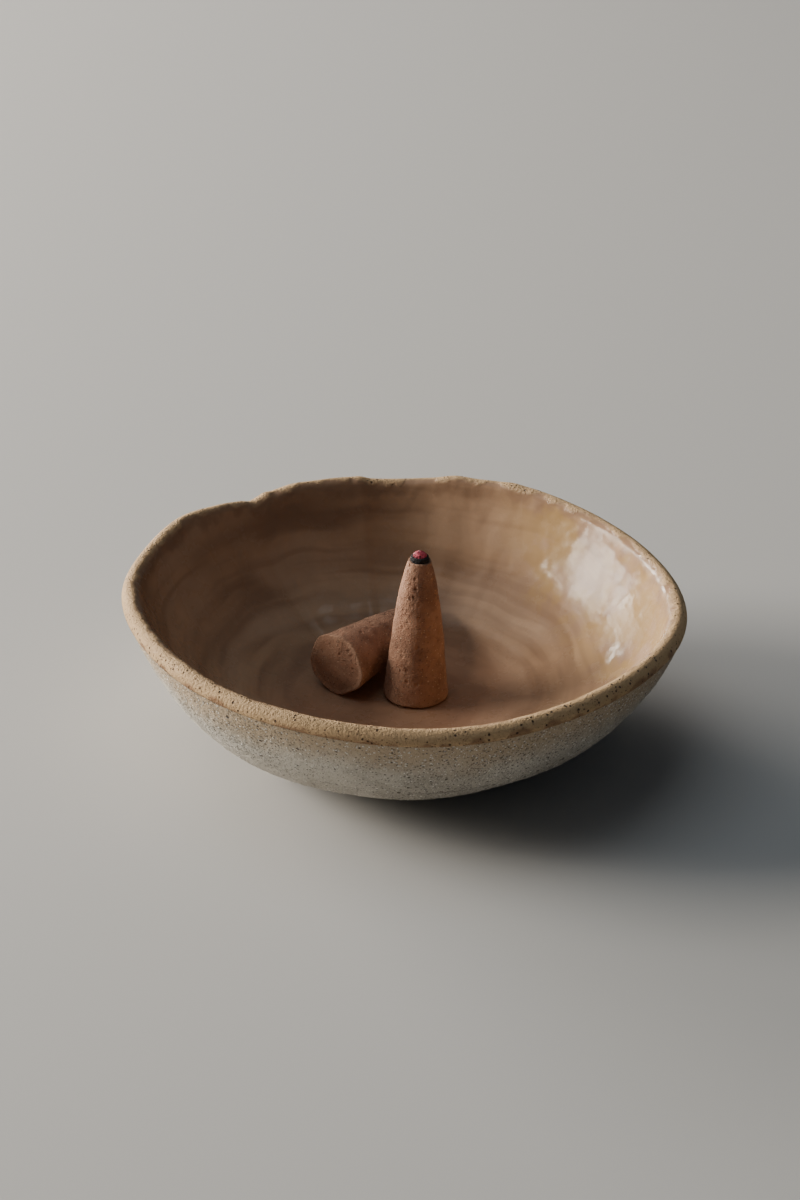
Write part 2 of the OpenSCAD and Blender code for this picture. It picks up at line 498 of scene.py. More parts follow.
@dataclass(frozen=True)
class OatmealGlaze(Finish):
    """Glossy tan glaze, streaked round the bowl and broken to honey, gone sandy over the lip, with painted
    light that makes its upper right wall lighter.
    """

    slot: str = "oatmeal_glaze"
    tan: Colour = rgb(0.42, 0.258, 0.152)
    umber: Colour = rgb(0.27, 0.160, 0.096)
    milk: Colour = rgb(0.50, 0.325, 0.205)
    honey: Colour = rgb(0.43, 0.268, 0.108)
    russet: Colour = rgb(0.33, 0.170, 0.102)
    sand: Colour = rgb(0.57, 0.375, 0.20)
    rust: Colour = rgb(0.27, 0.145, 0.075)
    hole: Colour = rgb(0.06, 0.035, 0.022)
    specular: float = 0.2

    def dress(self, graph: FinishGraph) -> None:
        """Builds the finish.

        Args:
            graph: the material's graph.
        """
        uneven = graph.noise(graph.place, 260.0, 2.0)
        lip = graph.math("ADD", graph.attribute("lip"), graph.ramp(uneven, 0.3, 0.7, -0.09, 0.09))
        on_lip = graph.ramp(lip, 0.28, 0.5)
        over_edge = graph.ramp(graph.math("MULTIPLY_ADD", uneven, 0.3, lip), 1.02, 1.16)
        inner_edge = graph.times(graph.ramp(lip, 0.12, 0.28), graph.ramp(lip, 0.5, 0.3))
        rise = graph.attribute("rise")
        streaks = graph.noise(graph.round_the_axis(graph.place, 230.0), 1.0, 2.5, 0.45)
        sweep = graph.noise(graph.round_the_axis(graph.place, 90.0), 1.0, 1.5, 0.4)
        ripple = graph.noise(graph.place, 130.0, 2.0, 0.5)
        hairs = graph.noise(graph.round_the_axis(graph.place, 480.0), 1.0, 1.5, 0.5)
        fine = graph.noise(graph.place, 1900.0, 3.0, 0.65)
        blotch = graph.clouds(70.0, 0.5, 0.06)
        mottle = graph.clouds(150.0, 0.5, 0.18)
        side, _, _ = graph.parts(graph.place)
        lit_right_side = graph.ramp(side, 18.0 * MM, 36.0 * MM)
        pinholes, _ = graph.specks(1150.0, graph.ramp(lip, 0.3, 0.6, 0.0, 0.5), 0.34)
        grit, grit_shade = graph.specks(2200.0, 0.6, 0.45)

        combed = graph.times(graph.ramp(hairs, 0.47, 0.68), graph.ramp(rise, 0.2, 0.5))
        # Painted light: the upper wall on the right, where the lamp falls, is painted lighter with milk. The
        # honey blotches are glaze colour laid in the same place.
        high = graph.times(graph.ramp(rise, 0.5, 0.8), lit_right_side)
        dust = graph.times(graph.times(grit, grit_shade), on_lip)
        colour = graph.paint(
            self.umber,
            (graph.ramp(streaks, 0.36, 0.6, 0.15, 1.0), 1.0, self.tan),
            (graph.ramp(sweep, 0.46, 0.62), 0.7, self.milk),
            (mottle, 0.22, self.umber),
            # painted light on the upper right wall
            (high, 0.45, self.milk),
            (combed, 0.42, self.umber),
            (graph.times(blotch, high), 0.85, self.honey),
            # Painted shade: the floor of the bowl is painted darker with russet.
            (graph.ramp(rise, 0.5, 0.18), 0.6, self.russet),
            (inner_edge, 0.6, self.umber),
            (on_lip, 1.0, self.sand),
            (dust, 0.7, self.rust),
            (over_edge, 0.8, self.rust),
            (pinholes, 0.9, self.hole),
        )

        gloss = graph.ramp(mottle, 0.2, 0.8, 0.16, 0.30)
        roughness = graph.math("MULTIPLY_ADD", on_lip, 0.5, gloss)
        relief = graph.height(
            (streaks, 0.22 * MM), (ripple, 0.55 * MM), (graph.times(fine, on_lip), 0.42 * MM),
            (pinholes, -0.5 * MM), (graph.times(grit, on_lip), 0.22 * MM),
        )
        graph.shader.inputs["Specular IOR Level"].default_value = self.specular
        graph.finish(colour, roughness, relief)


@dataclass(frozen=True)
class PressedIncense(Finish):
    """Pressed wood powder: matt and granular, paler round the base's edge, partly where the mould rubbed it
    and partly as a painted highlight.
    """

    slot: str = "pressed_incense"
    powder: Colour = rgb(0.43, 0.218, 0.130)
    dark: Colour = rgb(0.27, 0.130, 0.076)
    rubbed: Colour = rgb(0.60, 0.355, 0.225)
    husk: Colour = rgb(0.70, 0.47, 0.31)

    def dress(self, graph: FinishGraph) -> None:
        """Builds the finish.

        Args:
            graph: the material's graph.
        """
        patches = graph.clouds(190.0, 0.5, 0.15)
        powdery = graph.clouds(420.0, 0.52, 0.2)
        fine = graph.noise(graph.place, 2600.0, 4.0, 0.7)
        grains, shade = graph.specks(2300.0, 0.7, 0.5)
        pores, _ = graph.specks(1300.0, 0.25, 0.28)
        # The base's edge is painted paler: partly rubbed powder, partly a painted highlight.
        rubbed = graph.times(graph.attribute("edge"), graph.ramp(fine, 0.4, 0.6, 0.4, 1.0))

        pale_grains = graph.times(grains, graph.ramp(shade, 0.68, 0.84))
        dark_grains = graph.times(grains, graph.ramp(shade, 0.3, 0.1))
        colour = graph.paint(
            self.powder,
            (patches, 1.0, self.dark),
            (powdery, 0.3, self.rubbed),
            (pale_grains, 0.7, self.husk),
            (dark_grains, 0.85, self.dark),
            (pores, 0.65, self.dark),
            # paler base edge: rubbed powder and painted highlight
            (rubbed, 0.6, self.rubbed),
        )
        roughness = graph.ramp(fine, 0.3, 0.7, 0.82, 0.98)
        relief = graph.height((fine, 0.26 * MM), (grains, 0.1 * MM), (pores, -0.16 * MM))
        graph.finish(colour, roughness, relief)


@dataclass(frozen=True)
class Char(Finish):
    """Charred powder: near black and dry, with a little grey ash."""

    slot: str = "char"
    black: Colour = rgb(0.012, 0.009, 0.009)
    ash: Colour = rgb(0.10, 0.085, 0.08)

    def dress(self, graph: FinishGraph) -> None:
        """Builds the finish.

        Args:
            graph: the material's graph.
        """
        fine = graph.noise(graph.place, 5200.0, 4.0, 0.7)
        flecks, shade = graph.specks(4200.0, 0.35, 0.4)
        ashy = graph.times(flecks, graph.ramp(shade, 0.4, 0.9, 0.1, 0.9))
        colour = graph.mix(ashy, self.black, self.ash)
        roughness = graph.ramp(fine, 0.3, 0.7, 0.75, 0.95)
        graph.finish(colour, roughness, graph.height((fine, 0.22 * MM), (flecks, 0.08 * MM)))


@dataclass(frozen=True)
class GlowingEmber(Finish):
    """A glowing tip: crimson and pink, crusted with dark and white ash."""

    slot: str = "glowing_ember"
    crimson: Colour = rgb(0.22, 0.010, 0.022)
    pink: Colour = rgb(0.46, 0.07, 0.10)
    ash: Colour = rgb(0.75, 0.66, 0.66)
    crust: Colour = rgb(0.03, 0.012, 0.014)
    glow_strength: float = 0.16

    def dress(self, graph: FinishGraph) -> None:
        """Builds the finish.

        Args:
            graph: the material's graph.
        """
        glow = graph.clouds(900.0, 0.5, 0.12)
        fine = graph.noise(graph.place, 4200.0, 3.0, 0.65)
        white, _ = graph.specks(1900.0, 0.12, 0.34)
        dark, _ = graph.specks(1500.0, 0.34, 0.36)
        colour = graph.paint(
            self.crimson, (glow, 1.0, self.pink), (white, 0.75, self.ash), (dark, 1.0, self.crust)
        )
        dim = graph.math("SUBTRACT", 1.0, graph.times(dark, 0.95))
        light = graph.times(dim, graph.ramp(fine, 0.3, 0.6, 0.5, 1.0))
        graph.feed(graph.shader.inputs["Emission Color"], graph.mix(light, self.crust, colour))
        graph.shader.inputs["Emission Strength"].default_value = self.glow_strength
        relief = graph.height((fine, 0.2 * MM), (white, 0.1 * MM), (dark, -0.18 * MM))
        graph.finish(colour, graph.ramp(fine, 0.3, 0.7, 0.6, 0.9), relief)


@dataclass(frozen=True)
class Paper:
    """The pale floor's finish."""

    colour: Colour = rgb(0.50, 0.485, 0.46)
    roughness: float = 0.85

    def build(self) -> Material:
        """Builds the material.

        Returns:
            The material.
        """
        material = bpy.data.materials.new("pale_floor")
        material.use_nodes = True
        shader = material.node_tree.nodes["Principled BSDF"]
        shader.inputs["Base Color"].default_value = self.colour
        shader.inputs["Roughness"].default_value = self.roughness
        return material


# ---- Geometry trees ----


@dataclass(frozen=True)
class HandWork:
    """How a hand-worked wall is shaped. Depths are from the lowest point to the highest."""

    dent_depth: float
    dents_per_metre: float
    ridge_depth: float
    ridges_per_metre: float
    grit_depth: float
    grit_per_metre: float
    grains_per_square_metre: float
    grain_radius: float
    seed: int


@dataclass(frozen=True)
class Pressing:
    """How powder pressed in a mould is shaped."""

    lump_depth: float
    lumps_per_metre: float
    grit_depth: float
    grit_per_metre: float
    pit_depth: float
    pits_per_metre: float


def relief_group(name: str, sizes: type) -> tuple[Graph, Sockets, Sockets]:
    """Makes an empty geometry tree.

    Args:
        name: the tree's name.
        sizes: the dataclass that holds its sizes. Each of its fields is an input.

    Returns:
        The graph, the sockets that hand in its inputs and the sockets that take its outputs.
    """
    numbers = {label(size.name): NUMBERS[size.type] for size in fields(sizes)}
    inputs = {"Geometry": GEOMETRY, **numbers, "Material": MATERIAL}
    return new_group(name, "GeometryNodeTree", inputs, {"Geometry": GEOMETRY})


class Relief:
    """The geometry trees that give a plain skin its relief and its loose grains."""

    def __init__(self) -> None:
        """Builds the trees."""
        self.hand_worked = self._hand_worked()
        self.pressed = self._pressed()

    @staticmethod
    def _close(graph: Graph, given: Sockets, result: Sockets, geometry: Value) -> Tree:
        """Ends a tree in Realize Instances and Set Material, with smooth faces.

        Args:
            graph: the tree's graph.
            given: its inputs.
            result: its outputs.
            geometry: what it has made.

        Returns:
            The finished tree.
        """
        real = graph.add("GeometryNodeRealizeInstances", {"Geometry": geometry})
        smooth = graph.add("GeometryNodeSetShadeSmooth", {"Geometry": real})
        inputs = {"Geometry": smooth, "Material": given["Material"]}
        dressed = graph.add("GeometryNodeSetMaterial", inputs)
        graph.feed(result["Geometry"], dressed)
        return graph.tree

    @staticmethod
    def _mark(graph: Graph, name: str) -> Node:
        """A value that the skin carries for each of its points."""
        return graph.add("GeometryNodeInputNamedAttribute", {"Name": name}, data_type="FLOAT")

    @staticmethod
    def _push(graph: Graph, geometry: Value, amount: Value) -> Socket:
        """Moves each point along its normal.

        Args:
            graph: the tree's graph.
            geometry: what to move.
            amount: how far, in metres.

        Returns:
            The moved geometry.
        """
        normal = graph.add("GeometryNodeInputNormal")
        offset = graph.vector("SCALE", normal, amount)
        return graph.add("GeometryNodeSetPosition", {"Geometry": geometry, "Offset": offset}).outputs[0]

    @classmethod
    def _hand_worked(cls) -> Tree:
        """A wall squeezed and smoothed by hand, with grains of grog standing out of it.

        Returns:
            The tree.
        """
        graph, given, result = relief_group("hand_worked_wall", HandWork)
        place = graph.add("GeometryNodeInputPosition").outputs[0]
        free = cls._mark(graph, "relief")
        rough = cls._mark(graph, "rough")

        def layer(noise: Value, depth: Value) -> Socket:
            """One layer of relief, as deep below the skin as it is high above it."""
            return graph.times(graph.math("SUBTRACT", noise, 0.5), depth)

        around = graph.round_the_axis(place, given["Ridges Per Metre"])
        dents = layer(graph.noise(place, given["Dents Per Metre"], 1.0), given["Dent Depth"])
        ridges = layer(graph.noise(around, 1.0, 2.0), given["Ridge Depth"])
        grit = layer(graph.noise(place, given["Grit Per Metre"], 2.0), given["Grit Depth"])
        total = graph.math("MULTIPLY_ADD", grit, rough, graph.math("ADD", dents, ridges))
        wall = cls._push(graph, given["Geometry"], graph.times(total, free))

        density = graph.times(given["Grains Per Square Metre"], free)
        inputs = {"Mesh": wall, "Density": density, "Seed": given["Seed"]}
        points = graph.add("GeometryNodeDistributePointsOnFaces", inputs)
        grain = graph.add("GeometryNodeMeshIcoSphere", {"Subdivisions": 1, "Radius": 1.0})
        inputs = {2: 0.35, 3: 1.0, "Seed": given["Seed"]}
        size = graph.add("FunctionNodeRandomValue", inputs, data_type="FLOAT")
        radius = graph.times(size.outputs[1], given["Grain Radius"])
        squashed = graph.join(radius, radius, graph.times(radius, 0.45))
        turn = points.outputs["Rotation"]
        inputs = {"Points": points, "Instance": grain, "Rotation": turn, "Scale": squashed}
        grains = graph.add("GeometryNodeInstanceOnPoints", inputs)
        inputs = {"Geometry": grains, "Name": "grain", "Value": size.outputs[1]}
        marked = graph.add("GeometryNodeStoreNamedAttribute", inputs, data_type="FLOAT", domain="INSTANCE")
        joined = graph.add("GeometryNodeJoinGeometry")
        for part in (marked.outputs[0], wall):
            graph.tree.links.new(part, joined.inputs[0])
        return cls._close(graph, given, result, joined)

    @classmethod
    def _pressed(cls) -> Tree:
        """Powder pressed in a mould: soft lumps, grit, and pits where grains fell out.

        Returns:
            The tree.
        """
        graph, given, result = relief_group("pressed_powder", Pressing)
        place = graph.add("GeometryNodeInputPosition").outputs[0]
        lumps = graph.math("SUBTRACT", graph.noise(place, given["Lumps Per Metre"], 2.0), 0.5)
        grit = graph.math("SUBTRACT", graph.noise(place, given["Grit Per Metre"], 2.0), 0.5)
        inputs = {"Vector": place, "Scale": given["Pits Per Metre"]}
        cells = graph.add("ShaderNodeTexVoronoi", inputs)
        chance, _, _ = graph.parts(cells.outputs["Color"])
        scar = cls._mark(graph, "scar")
        share = graph.math("MULTIPLY_ADD", scar, 0.75, 0.12)
        picked = graph.math("LESS_THAN", chance, share)
        pit = graph.times(graph.ramp(cells.outputs["Distance"], 0.1, 0.5, 1.0, 0.0), picked)
        total = graph.times(lumps, given["Lump Depth"])
        total = graph.math("MULTIPLY_ADD", grit, given["Grit Depth"], total)
        sunk = graph.times(pit, given["Pit Depth"])
        body = cls._push(graph, given["Geometry"], graph.math("SUBTRACT", total, sunk))
        return cls._close(graph, given, result, body)


def even_turns(samples: int) -> np.ndarray:
    """Even angles once round, in radians."""
    return np.arange(samples) * 2 * math.pi / samples


@dataclass
class Skin:
    """A closed skin of rings round the Z axis, with named values for its points."""

    name: str
    rings: np.ndarray
    first: tuple[float, float, float]
    last: tuple[float, float, float]
    marks: dict[str, np.ndarray] = field(default_factory=dict)

    def mesh(self) -> bpy.types.Mesh:
        """Makes the mesh, with its faces outwards and its two ends closed.

        Returns:
            The mesh, with one point attribute for each mark.
        """
        rows, round_count, _ = self.rings.shape
        points = np.concatenate([[self.first], self.rings.reshape(-1, 3), [self.last]])
        here = np.arange(round_count)
        there = (here + 1) % round_count
        end = len(points) - 1
        start = 1 + np.arange(rows - 1)[:, None] * round_count
        quads = np.stack(
            [start + here, start + there, start + round_count + there, start + round_count + here], -1
        )
        caps = [[0, 1 + there[i], 1 + here[i]] for i in range(round_count)]
        top = end - round_count
        caps += [[end, top + here[i], top + there[i]] for i in range(round_count)]
        mesh = bpy.data.meshes.new(self.name)
        mesh.from_pydata(points.tolist(), [], quads.reshape(-1, 4).tolist() + caps)
        for name, values in self.marks.items():
            flat = np.concatenate([[values[0].mean()], values.reshape(-1), [values[-1].mean()]])
            layer = mesh.attributes.new(name, "FLOAT", "POINT")
            layer.data.foreach_set("value", flat.astype(np.float32))
        return mesh


def turned(out: np.ndarray, height: np.ndarray, samples: int) -> np.ndarray:
    """Turns an outline round the Z axis.

    Args:
        out: distances from the axis, by ring, and by turn where they change round the ring.
        height: heights, in the same way.
        samples: points in a ring.

    Returns:
        The points, by ring and then by turn.
    """
    turns = even_turns(samples)
    return np.stack([out * np.cos(turns), out * np.sin(turns), height + 0 * turns], -1)


def grown(skin: Skin, tree: Tree, sizes: HandWork | Pressing, material: Material) -> Object:
    """Runs a geometry tree on a skin and keeps the plain result.

    Args:
        skin: the skin to start from.
        tree: the geometry tree.
        sizes: the tree's sizes.
        material: what the piece is made of.

    Returns:
        A new object at the origin, with no modifier.
    """
    source = bpy.data.objects.new(skin.name + "_source", skin.mesh())
    bpy.context.scene.collection.objects.link(source)
    modifier = source.modifiers.new("relief", "NODES")
    modifier.node_group = tree
    sockets = {item.name: item.identifier for item in tree.interface.items_tree if item.in_out == "INPUT"}
    for name, value in {**asdict(sizes), "material": material}.items():
        modifier[sockets[label(name)]] = value
    bpy.context.view_layer.update()
    evaluated = source.evaluated_get(bpy.context.evaluated_depsgraph_get())
    made = bpy.data.meshes.new_from_object(evaluated)
    source.modifiers.clear()
    bpy.data.objects.remove(source)
    made.name = skin.name
    piece = bpy.data.objects.new(skin.name, made)
    bpy.context.scene.collection.objects.link(piece)
    return piece


def settle(piece: Object, node: str, body: str) -> None:
    """Says which CAD node a piece replaces and which body it rides on.

    Args:
        piece: the piece, in its place.
        node: the CAD node.
        body: the CAD body.
    """
    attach(piece, body)
    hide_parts(node)


def report(piece: Object) -> None:
    """Logs a finished piece's name and how many triangles it has."""
    faces = sum(len(polygon.vertices) - 2 for polygon in piece.data.polygons)
    LOG.info("%s: %d triangles", piece.name, faces)


# ---- The bowl ----


def smooth_round(values: np.ndarray, count: int) -> np.ndarray:
    """Samples the smooth closed curve through even stations.

    Args:
        values: one row for each station.
        count: how many even samples to take.

    Returns:
        One row for each sample.
    """
    stations = len(values)
    spot = np.arange(count) * stations / count
    index = spot.astype(int)
    t = (spot - index)[:, None]
    before, here, after, beyond = (values[(index + step) % stations] for step in (-1, 0, 1, 2))
    return (
        here
        + t * (after - before) / 2
        + t**2 * (before - 2.5 * here + 2 * after - beyond / 2)
        + t**3 * (1.5 * (here - after) + (beyond - before) / 2)
    )


def node_points(node: str) -> np.ndarray:
    """A CAD node's points, one to a row."""
    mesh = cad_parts[node].data
    points = np.empty(len(mesh.vertices) * 3)
    mesh.vertices.foreach_get("co", points)
    return points.reshape(-1, 3)


def slope_vector(degrees: float) -> np.ndarray:
    """The unit vector up a slope in a section of the wall."""
    return np.array([math.cos(math.radians(degrees)), math.sin(math.radians(degrees))])


@dataclass(frozen=True)
class Rings:
    """Where the rings of one stretch of skin begin and end, and how many there are."""

    first: float
    last: float
    count: int

    def steps(self) -> np.ndarray:
        """Even steps from the first ring to the last."""
        return np.linspace(self.first, self.last, self.count)


@dataclass
class PinchedBowl:
    """The bowl: a clay wall, and the glaze that lines it and rolls over its lip.

    The wall's section is two cubic curves and a half circle. A slope is in degrees from level, and a
    reach is the length of a curve's handle as a share of its chord, or of its width at the floor.
    """

    cad_sections: int = 72
    samples: int = 540
    lip_thick: float = 3.2 * MM
    foot_slope: float = 13.0
    lip_slope: float = 68.0
    inside_slope: float = 66.0
    foot_reach: float = 0.44
    lip_reach: float = 0.42
    inside_reach: float = 0.42
    floor_reach: float = 0.56
    glaze_edge: float = 0.15 * MM
    foot_rings: Rings = Rings(0.08, 0.985, 10)
    outside_rings: Rings = Rings(0.012, 1.0, 118)
    covered_lip_rings: Rings = Rings(12.0, 180.0, 10)
    covered_inside_rings: Rings = Rings(0.08, 0.96, 14)
    lip_rings: Rings = Rings(0.0, 180.0, 18)
    inside_rings: Rings = Rings(0.0, 0.985, 106)
    under_glaze_step: int = 5
    clay_work: HandWork = HandWork(
        dent_depth=1.3 * MM, dents_per_metre=38.0, ridge_depth=0.5 * MM, ridges_per_metre=210.0,
        grit_depth=0.42 * MM, grit_per_metre=760.0,
        grains_per_square_metre=130000.0, grain_radius=0.3 * MM, seed=7,
    )
    glaze_work: HandWork = HandWork(
        dent_depth=0.7 * MM, dents_per_metre=60.0, ridge_depth=0.3 * MM, ridges_per_metre=200.0,
        grit_depth=0.16 * MM, grit_per_metre=900.0,
        grains_per_square_metre=0.0, grain_radius=0.2 * MM, seed=3,
    )
    nicks: tuple[tuple[float, float, float], ...] = (
        (127.5, 3.0, -0.5 * MM), (123.0, 2.2, 0.35 * MM), (98.0, 2.5, 0.25 * MM), (61.0, 3.5, 0.2 * MM),
    )
    body: str = "bowl"

    def __post_init__(self) -> None:
        """Reads the rim, the foot and the floor from the frame, and adds the nicks to the rim."""
        near_zero = 0.01 * MM
        clay = node_points("stoneware_bowl")
        glaze = node_points("glaze_lining")
        turn = np.degrees(np.arctan2(clay[:, 1], clay[:, 0])) % 360
        out = np.hypot(clay[:, 0], clay[:, 1])
        number = np.rint(turn * self.cad_sections / 360).astype(int) % self.cad_sections
        crest = []
        for section in range(self.cad_sections):
            mine = np.flatnonzero((number == section) & (out > 0.5 * out.max()))
            top = mine[clay[mine, 2].argmax()]
            crest.append([out[top], clay[top, 2]])
        self.crest = smooth_round(np.array(crest), self.samples)
        degrees = np.arange(self.samples) * 360 / self.samples
        for angle, half_width, lift in self.nicks:
            off = np.clip((degrees - angle) / half_width, -1, 1)
            self.crest[:, 1] += lift * (1 + np.cos(math.pi * off)) / 2
        self.foot_r = out[clay[:, 2] < near_zero].max()
        self.floor = clay[out < near_zero, 2].max()
        self.glaze = glaze[np.hypot(glaze[:, 0], glaze[:, 1]) < near_zero, 2].max() - self.floor

    def _curve(self, a: Value, b: Value, c: Value, d: Value, steps: np.ndarray) -> np.ndarray:
        """A cubic curve in every section at once.

        Args:
            a: the first point, or one for each section.
            b: the first handle.
            c: the second handle.
            d: the last point.
            steps: where to sample the curve, from 0 to 1.

        Returns:
            The points, by step and then by section.
        """
        t = steps[:, None, None]
        s = 1 - t
        return s**3 * a + 3 * s**2 * t * b + 3 * s * t**2 * c + t**3 * d

    def _lip(self, turns: np.ndarray) -> np.ndarray:
        """The round of the lip.

        Args:
            turns: degrees from the lip's outer edge towards its inner edge.

        Returns:
            The points, by turn and then by section.
        """
        along = slope_vector(self.lip_slope)
        square = np.array([along[1], -along[0]])
        angle = np.radians(turns)[:, None, None]
        middle = self.crest - [0, self.lip_thick / 2]
        return middle + self.lip_thick / 2 * (np.cos(angle) * square + np.sin(angle) * along)

    def _outside(self, steps: np.ndarray) -> np.ndarray:
        """The outside, from the foot's edge up to the lip's outer edge."""
        foot = np.array([self.foot_r, 0.0])
        lip = self._lip(np.zeros(1))[0]
        chord = np.linalg.norm(lip - foot, axis=1)[:, None]
        first = foot + self.foot_reach * chord * slope_vector(self.foot_slope)
        second = lip - self.lip_reach * chord * slope_vector(self.lip_slope)
        return self._curve(foot, first, second, lip, steps)

    def _inside(self, steps: np.ndarray) -> np.ndarray:
        """The inside, from the lip's inner edge down to the middle of the floor."""
        middle = np.array([0.0, self.floor])
        lip = self._lip(np.array([180.0]))[0]
        chord = np.linalg.norm(lip - middle, axis=1)[:, None]
        first = lip - self.inside_reach * chord * slope_vector(self.inside_slope)
        second = middle + self.floor_reach * lip * [1, 0]
        return self._curve(lip, first, second, middle, steps)

    def _marks(self, counts: dict[Stretch, int], rise: dict, relief: dict, lip: dict) -> dict:
        """Values for each ring, from the values at the two ends of each stretch.

        Args:
            counts: rings in each stretch, in order.
            rise: how far up the wall each stretch begins and ends.
            relief: how much of the relief each stretch begins and ends with.
            lip: how far over the lip each stretch begins and ends.

        Returns:
            The marks, from 0 to 1, by ring and then by section.
        """
        marks = {}
        for name, ends in (("rise", rise), ("relief", relief), ("lip", lip)):
            runs = [np.linspace(*ends.get(part, (0.0, 0.0)), count) for part, count in counts.items()]
            values = np.clip(np.concatenate(runs), 0, 1)
            marks[name] = np.repeat(values[:, None], self.samples, 1)
        marks["rough"] = marks["relief"].copy()
        return marks

    def clay_wall(self, relief: Relief, material: Material) -> Object:
        """The clay, with its bare outside worked in detail.

        Args:
            relief: the geometry trees.
            material: the bare stoneware.

        Returns:
            The piece.
        """
        foot_r = self.foot_rings.steps() * self.foot_r
        foot = np.stack([foot_r, 0 * foot_r], -1)[:, None] * np.ones((1, self.samples, 1))
        outside = self._outside(self.outside_rings.steps())
        lip = self._lip(self.covered_lip_rings.steps())
        inside = self._inside(self.covered_inside_rings.steps())
        parts = (foot, outside, lip, inside)
        section = np.concatenate(parts)
        counts = {stretch: len(part) for stretch, part in zip(Stretch, parts)}
        marks = self._marks(
            counts,
            rise={Stretch.OUTSIDE: (0, 1), Stretch.LIP: (1, 1), Stretch.INSIDE: (1, 0)},
            relief={Stretch.OUTSIDE: (1, 1)},
            lip={Stretch.LIP: (0, 1), Stretch.INSIDE: (1, 1)},
        )
        # The relief grows over the first ninth above the foot, and fades over the last fourteenth.
        fade = np.clip(np.linspace(0, 9, counts[Stretch.OUTSIDE]), 0, 1)
        fade *= np.clip(np.linspace(14, 0, counts[Stretch.OUTSIDE]), 0, 1)
        run = slice(counts[Stretch.UNDERSIDE], counts[Stretch.UNDERSIDE] + counts[Stretch.OUTSIDE])
        marks["relief"][run] *= fade[:, None]
        rings = turned(section[..., 0], section[..., 1], self.samples)
        skin = Skin("clay_wall", rings, (0, 0, 0), (0, 0, self.floor), marks)
        piece = grown(skin, relief.hand_worked, self.clay_work, material)
        settle(piece, "stoneware_bowl", self.body)
        return piece

    def glaze_coat(self, relief: Relief, material: Material) -> Object:
        """The glaze over the inside and the lip.

        Args:
            relief: the geometry trees.
            material: the oatmeal glaze.

        Returns:
            The piece.
        """
        lip = self._lip(self.lip_rings.steps())
        inside = self._inside(self.inside_rings.steps()[1:])
        clay = np.concatenate([lip, inside])
        ahead = np.concatenate([clay[1:], clay[-1:]])
        behind = np.concatenate([clay[:1], clay[:-1]])
        run = ahead - behind
        run /= np.linalg.norm(run, axis=-1, keepdims=True)
        square = np.stack([run[..., 1], -run[..., 0]], -1)
        full = np.clip(np.arange(len(clay)) / len(lip), 0, 1)[:, None, None]
        top = clay + square * (self.glaze_edge + (self.glaze - self.glaze_edge) * full)
        under = clay[::-1][:: self.under_glaze_step]
        if (len(clay) - 1) % self.under_glaze_step:
            under = np.concatenate([under, clay[:1]])
        section = np.concatenate([under, top])
        counts = {Stretch.UNDERSIDE: len(under), Stretch.LIP: len(lip), Stretch.INSIDE: len(inside)}
        marks = self._marks(
            counts,
            rise={Stretch.UNDERSIDE: (0, 1), Stretch.LIP: (1, 1), Stretch.INSIDE: (1, 0)},
            relief={Stretch.LIP: (0, 1), Stretch.INSIDE: (1, 1)},
            lip={Stretch.UNDERSIDE: (0, 1), Stretch.LIP: (1, 0.2), Stretch.INSIDE: (0.2, -3)},
        )
        marks["rough"] = marks["relief"] * np.clip(marks["lip"] / 0.4, 0, 1)
        rings = turned(section[..., 0], section[..., 1], self.samples)
        skin = Skin("glaze_coat", rings, (0, 0, self.floor), (0, 0, self.floor + self.glaze), marks)
        piece = grown(skin, relief.hand_worked, self.glaze_work, material)
        settle(piece, "glaze_lining", self.body)
        return piece


# ---- The incense ----


def shown_name(node: str) -> str:
    """The name of the piece that shows a node of the incense."""
    return node + "_shown"


def turned_from(turns: np.ndarray, middle: float) -> np.ndarray:
    """How far each angle is from a middle in degrees: between half a turn back and half a turn on."""
    return np.angle(np.exp(1j * (turns - math.radians(middle))))


